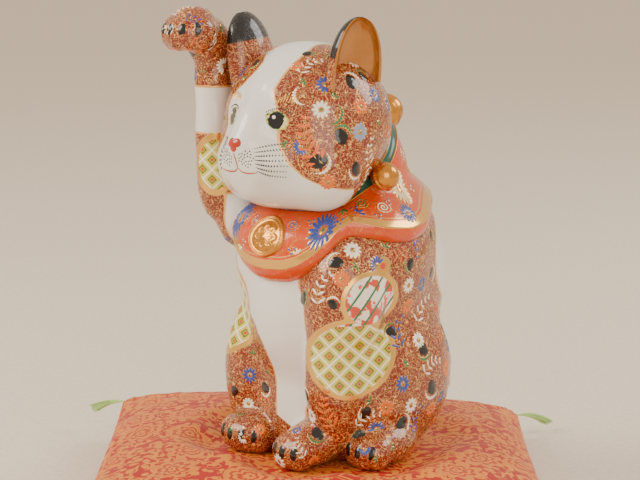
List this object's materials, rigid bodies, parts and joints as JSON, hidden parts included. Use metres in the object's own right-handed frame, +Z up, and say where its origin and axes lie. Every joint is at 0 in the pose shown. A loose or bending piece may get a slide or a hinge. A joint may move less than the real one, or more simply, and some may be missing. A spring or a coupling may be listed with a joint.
{
  "type": "beckoning cat figurine",
  "caption": "Hollow porcelain cat that sits with one paw raised, painted all over with raised enamel and gilding, on a loose square brocade cushion with corner tassels.",
  "frame": {"origin": "under the middle of the cushion, on the plane it rests on", "axes": "+Z up; the cat faces -Y and its left side is towards +X; the cushion is turned about Z under it"},
  "size_m": [0.517, 0.517, 0.341],
  "materials": {
    "white_porcelain": "clear glazed white porcelain",
    "red_overglaze": "red-brown overglaze enamel with gold line work, fired gloss",
    "orange_overglaze": "orange overglaze enamel with a gilt edge, fired gloss",
    "gilding": "bright fired gilding",
    "green_overglaze": "dark green overglaze enamel, fired gloss",
    "bare_biscuit": "unglazed porcelain",
    "brocade": "red and gold woven brocade",
    "wadding": "white cotton wadding",
    "tassel_thread": "light green twisted thread"
  },
  "bodies": {
    "cushion": {"cushion_top_panel": "brocade", "cushion_bottom_panel": "brocade", "cushion_wadding": "wadding", "corner_tassel_1": "tassel_thread", "corner_tassel_2": "tassel_thread", "corner_tassel_3": "tassel_thread", "corner_tassel_4": "tassel_thread"},
    "cat": {"body_casting": "white_porcelain", "base_slab": "bare_biscuit", "head_casting": "white_porcelain", "left_ear": "gilding", "right_ear": "gilding", "raised_arm": "red_overglaze", "left_foreleg": "red_overglaze", "left_hind_paw": "red_overglaze", "right_hind_paw": "red_overglaze", "tail": "red_overglaze", "bib": "orange_overglaze", "bib_medallion": "gilding", "neck_ribbon": "green_overglaze", "nape_bell": "gilding", "left_bell": "gilding", "right_bell": "gilding"}
  },
  "joints": [
    {"name": "cat_lift", "type": "slide", "parent": "cushion", "child": "cat", "axis": [0, 0, 1], "range_m": [0, 0.1]}
  ]
}
